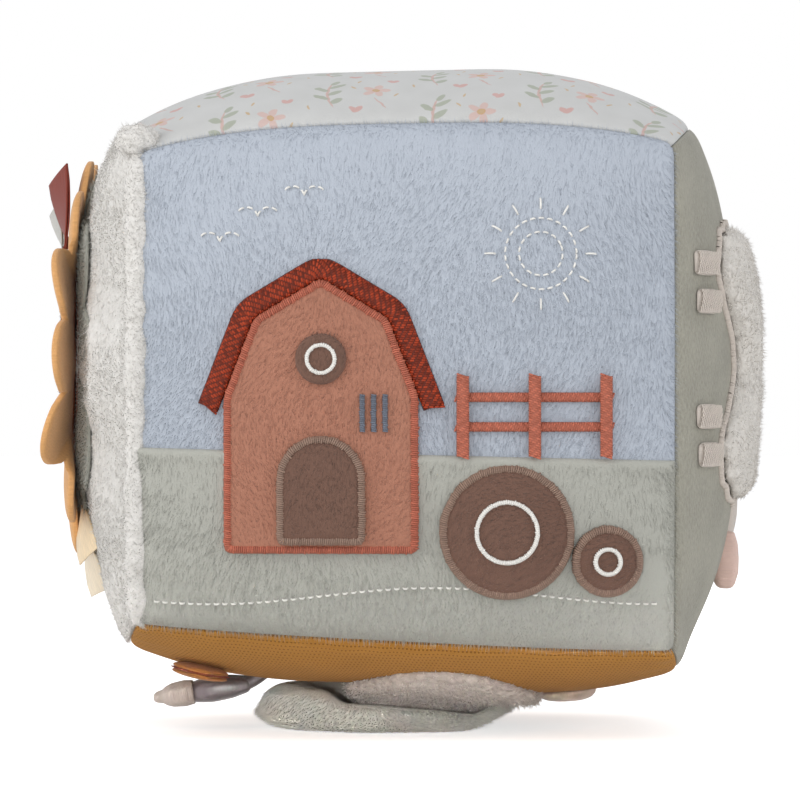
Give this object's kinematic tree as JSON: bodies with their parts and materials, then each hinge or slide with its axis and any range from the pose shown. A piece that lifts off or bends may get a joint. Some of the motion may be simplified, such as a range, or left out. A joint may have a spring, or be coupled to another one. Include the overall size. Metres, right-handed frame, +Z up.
{
  "type": "soft fabric block",
  "caption": "Stuffed fabric play block with plush, fleece and knit faces, a sewn farm picture, a woolly sheep, a petal flower with ribbons, and a flap, limb and tab below.",
  "frame": {"origin": "on the floor, where the flat of the flap below rests, under the middle of the block", "axes": "+Z up, the picture face looks along -Y, +X to the right as the picture is seen, with the sheep on +X and the flower on -X"},
  "size_m": [0.1812, 0.1618, 0.1637],
  "materials": {
    "sky_plush": "matte",
    "grey_green_plush": "matte",
    "printed_cotton": "matte",
    "fleece": "matte",
    "sage_velour": "matte",
    "blush_plush": "matte",
    "waffle_knit": "matte",
    "mustard_cloth": "matte",
    "rust_satin": "satin",
    "terracotta_plush": "matte",
    "salmon_stitch": "satin",
    "brown_plush": "matte",
    "taupe_stitch": "satin",
    "white_stitch": "satin",
    "slate_stitch": "satin",
    "grey_green_ribbon": "satin",
    "grey_satin": "satin",
    "cream_velour": "matte",
    "peach_ribbon": "satin",
    "pink_plush": "matte",
    "fibre": "matte",
    "rattle_shell": "satin",
    "rattle_bead": "satin"
  },
  "bodies": {
    "block": {"filling_lower": "fibre", "filling_upper": "fibre", "rattle_case_lower": "rattle_shell", "rattle_case_upper": "rattle_shell", "front_sky_panel": "sky_plush", "front_ground_panel": "grey_green_plush", "top_panel": "printed_cotton", "bottom_panel": "waffle_knit", "left_panel": "fleece", "right_panel": "sage_velour", "back_panel": "blush_plush", "barn_wall": "terracotta_plush", "barn_wall_border": "salmon_stitch", "barn_roof": "rust_satin", "barn_door": "brown_plush", "barn_door_border": "taupe_stitch", "loft_window": "brown_plush", "loft_window_ring": "white_stitch", "louvre_1": "slate_stitch", "louvre_2": "slate_stitch", "louvre_3": "slate_stitch", "fence_rail_upper": "salmon_stitch", "fence_rail_lower": "salmon_stitch", "fence_post_1": "salmon_stitch", "fence_post_2": "salmon_stitch", "fence_post_3": "salmon_stitch", "bale_large": "brown_plush", "bale_large_border": "taupe_stitch", "bale_large_ring": "white_stitch", "bale_small": "brown_plush", "bale_small_border": "taupe_stitch", "bale_small_ring": "white_stitch", "sheep_fleece": "fleece", "sheep_leg_1": "cream_velour", "sheep_leg_2": "cream_velour", "sheep_leg_3": "cream_velour", "sheep_leg_4": "cream_velour", "sheep_head": "cream_velour", "flower_leaves": "grey_green_plush", "flower_base": "rust_satin", "petal_ring": "mustard_cloth", "flower_centre": "brown_plush", "fleece_patch": "fleece", "fleece_snout": "blush_plush"},
    "bead_1": {"rattle_bead_1": "rattle_bead"},
    "bead_2": {"rattle_bead_2": "rattle_bead"},
    "bead_3": {"rattle_bead_3": "rattle_bead"},
    "bead_4": {"rattle_bead_4": "rattle_bead"},
    "ear": {"sheep_ear": "pink_plush"},
    "rust_ribbon": {"ribbon_rust": "rust_satin"},
    "grey_green_ribbon": {"ribbon_grey_green": "grey_green_ribbon"},
    "peach_tag": {"ribbon_peach": "peach_ribbon"},
    "beige_tag": {"ribbon_beige": "peach_ribbon"},
    "flap": {"flap_plush": "grey_green_plush", "flap_lining": "waffle_knit"},
    "limb": {"grey_limb": "grey_satin", "cream_tip": "cream_velour"},
    "tab": {"mustard_tab": "mustard_cloth", "mustard_tab_lining": "rust_satin"}
  },
  "joints": [
    {"name": "bead_1_slide", "type": "slide", "parent": "block", "child": "bead_1", "axis": [0, 0, 1], "range_m": [0, 0.0186]},
    {"name": "bead_2_slide", "type": "slide", "parent": "block", "child": "bead_2", "axis": [0, 0, 1], "range_m": [0, 0.0186]},
    {"name": "bead_3_slide", "type": "slide", "parent": "block", "child": "bead_3", "axis": [0, 0, 1], "range_m": [0, 0.0186]},
    {"name": "bead_4_slide", "type": "slide", "parent": "block", "child": "bead_4", "axis": [0, 0, 1], "range_m": [0, 0.0186]},
    {"name": "ear_fold", "type": "hinge", "parent": "block", "child": "ear", "pos_m": [0.08236, -0.005, 0.04915], "axis": [0, -1, 0], "range_deg": [0, 110]},
    {"name": "rust_ribbon_fold", "type": "hinge", "parent": "block", "child": "rust_ribbon", "pos_m": [-0.08653, -0.01388, 0.12148], "axis": [-0.4395, -0.8962, -0.0615], "range_deg": [0, 100], "stiffness_Nm_per_rad": 0.0003},
    {"name": "grey_green_ribbon_fold", "type": "hinge", "parent": "block", "child": "grey_green_ribbon", "pos_m": [-0.08579, 0.00712, 0.12385], "axis": [-0.4234, -0.8997, -0.1059], "range_deg": [0, 80], "stiffness_Nm_per_rad": 0.0003},
    {"name": "peach_tag_fold", "type": "hinge", "parent": "block", "child": "peach_tag", "pos_m": [-0.08212, -0.01822, 0.05481], "axis": [0, 0.901, -0.4339], "range_deg": [0, 30]},
    {"name": "beige_tag_fold", "type": "hinge", "parent": "block", "child": "beige_tag", "pos_m": [-0.08135, -0.00631, 0.04607], "axis": [0, 0.9909, -0.1342], "range_deg": [0, 45]},
    {"name": "flap_fold", "type": "hinge", "parent": "block", "child": "flap", "pos_m": [-0.005, 0.0294, 0.00927], "axis": [1, 0, 0], "range_deg": [0, 140]},
    {"name": "limb_fold", "type": "hinge", "parent": "block", "child": "limb", "pos_m": [-0.0385, -0.008, 0.01123], "axis": [0, -1, 0], "range_deg": [-4, 80], "stiffness_Nm_per_rad": 0.003},
    {"name": "tab_fold", "type": "hinge", "parent": "block", "child": "tab", "pos_m": [-0.05, -0.034, 0.01465], "axis": [0.9794, 0, -0.2018], "range_deg": [0, 100], "stiffness_Nm_per_rad": 0.0005}
  ]
}
